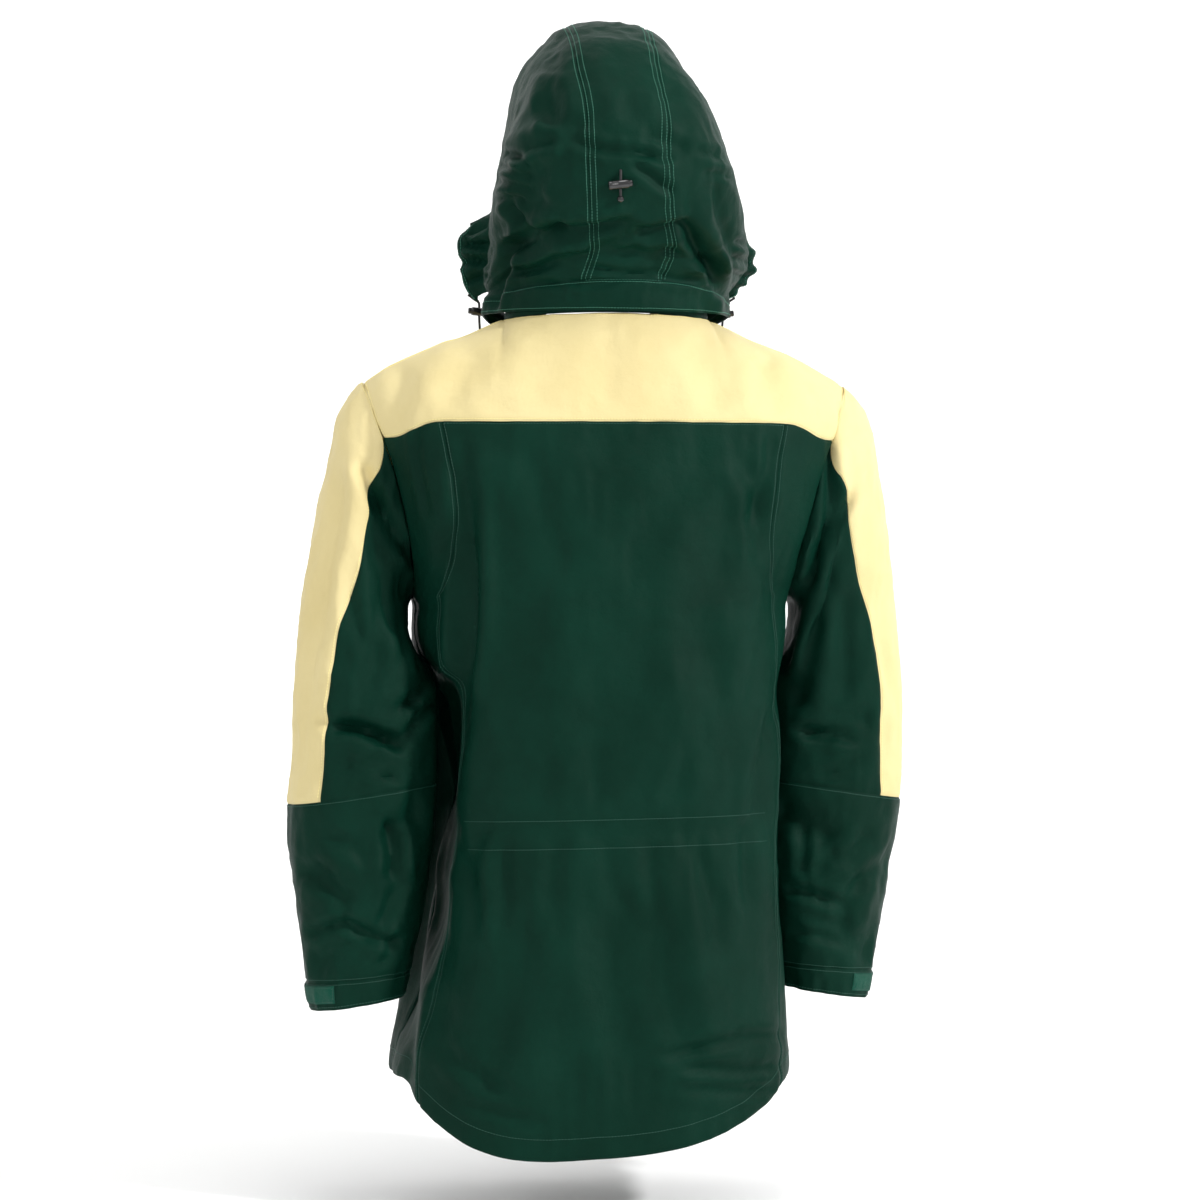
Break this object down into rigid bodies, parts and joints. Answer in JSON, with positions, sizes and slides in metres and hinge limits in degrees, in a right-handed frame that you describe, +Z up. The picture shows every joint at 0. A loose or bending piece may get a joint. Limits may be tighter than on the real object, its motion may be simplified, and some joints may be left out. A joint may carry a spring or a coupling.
{
  "type": "hooded three-in-one jacket",
  "caption": "Long hooded jacket kept in its worn, hollow shape with the hood up: two-colour shell, drop-tail hem, fleece liner cuffs, front zip with a swinging pull tab.",
  "frame": {"origin": "centre of the back neck seam, where the wearer's neck and shoulders carry the jacket", "axes": "+Z up along the wearer's spine, -Y out of the wearer's chest, +X towards the wearer's left"},
  "size_m": [0.6404, 0.3098, 1.1488],
  "materials": {
    "shell_green": "dark bottle-green plain-weave nylon, slight sheen",
    "shell_yellow": "pale yellow plain-weave nylon, slight sheen",
    "liner_fleece": "dark green brushed fleece, matt",
    "loop_patch": "mid-green woven loop tape, matt",
    "gloss_black": "black moulded plastic and black elastic cord",
    "steel": "plated zinc alloy"
  },
  "bodies": {
    "jacket": {"back_panel": "shell_green", "side_back_L": "shell_green", "side_back_R": "shell_green", "front_L": "shell_green", "front_R": "shell_green", "sleeve_under_L": "shell_green", "sleeve_under_R": "shell_green", "forearm_L": "shell_green", "forearm_R": "shell_green", "cuff_L": "shell_green", "cuff_R": "shell_green", "cuff_tab_L": "shell_green", "cuff_tab_R": "shell_green", "hood_centre": "shell_green", "hood_side_L": "shell_green", "hood_side_R": "shell_green", "hood_band": "shell_green", "hood_edge": "shell_green", "collar": "shell_green", "zip_tape": "shell_green", "back_yoke": "shell_yellow", "front_yoke_L": "shell_yellow", "front_yoke_R": "shell_yellow", "sleeve_outer_L": "shell_yellow", "sleeve_outer_R": "shell_yellow", "liner_cuff_L": "liner_fleece", "liner_cuff_R": "liner_fleece", "cuff_patch_L": "loop_patch", "cuff_patch_R": "loop_patch", "zip_chain": "gloss_black", "cord_lock_back": "gloss_black", "cord_lock_front_L": "gloss_black", "cord_lock_front_R": "gloss_black", "cord_bead_back": "gloss_black", "cord_bead_front_L": "gloss_black", "cord_bead_front_R": "gloss_black", "cord_back_upper": "gloss_black", "cord_back_lower": "gloss_black", "cord_front_upper_L": "gloss_black", "cord_front_upper_R": "gloss_black", "cord_front_L": "gloss_black", "cord_front_R": "gloss_black", "zip_slider": "steel"},
    "zip_pull": {"zip_pull": "steel"}
  },
  "joints": [
    {"name": "pull_tab_swing", "type": "hinge", "parent": "jacket", "child": "zip_pull", "pos_m": [-0.01483, -0.10546, -0.0086], "axis": [-1, 0, 0], "range_deg": [0, 170]}
  ]
}
